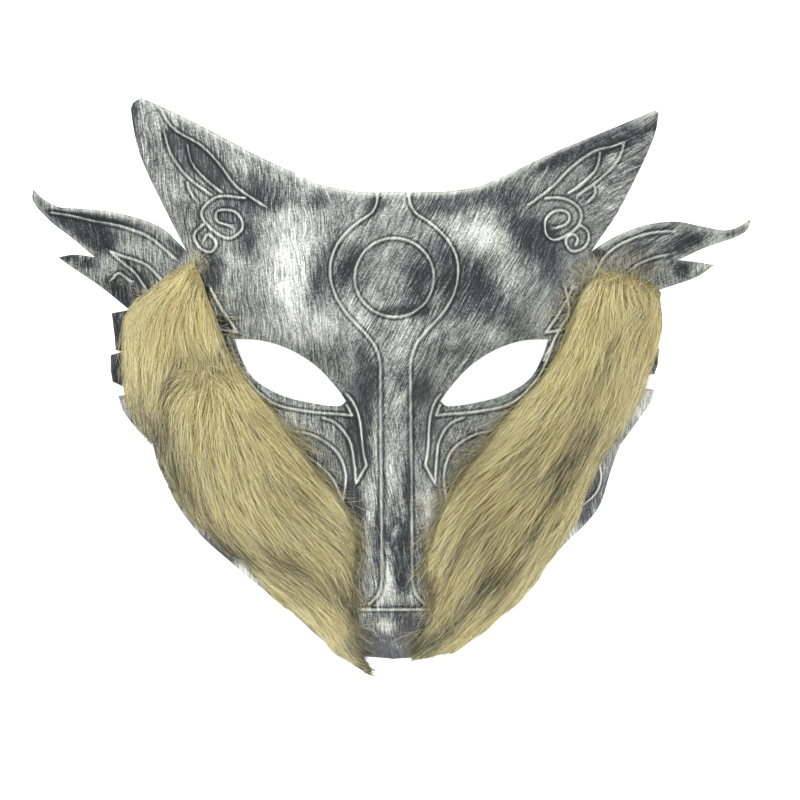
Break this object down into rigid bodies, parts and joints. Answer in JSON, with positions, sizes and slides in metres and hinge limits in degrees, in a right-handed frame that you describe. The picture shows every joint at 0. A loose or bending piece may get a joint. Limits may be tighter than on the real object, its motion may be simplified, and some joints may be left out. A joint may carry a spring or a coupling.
{
  "type": "wolf mask",
  "caption": "Stiff moulded wolf face mask with pointed ears, cheek flares, almond eye holes, raised scroll lines and long fur cheeks, worn over the face",
  "frame": {"origin": "middle of the mask's bounding box, on the surface that its rim lies on", "axes": "+X to the viewer's right, +Y from the chin to the ears, +Z out of the face, towards the viewer"},
  "size_m": [0.257, 0.203, 0.088],
  "materials": {
    "painted_plastic": "charcoal plastic with dry brushed silver paint, brightest on the raised lines",
    "faux_fur": "long straw and olive faux fur, dark at the roots"
  },
  "bodies": {
    "root": {"mask_shell": "painted_plastic", "fur_left": "faux_fur", "fur_right": "faux_fur"}
  },
  "joints": []
}
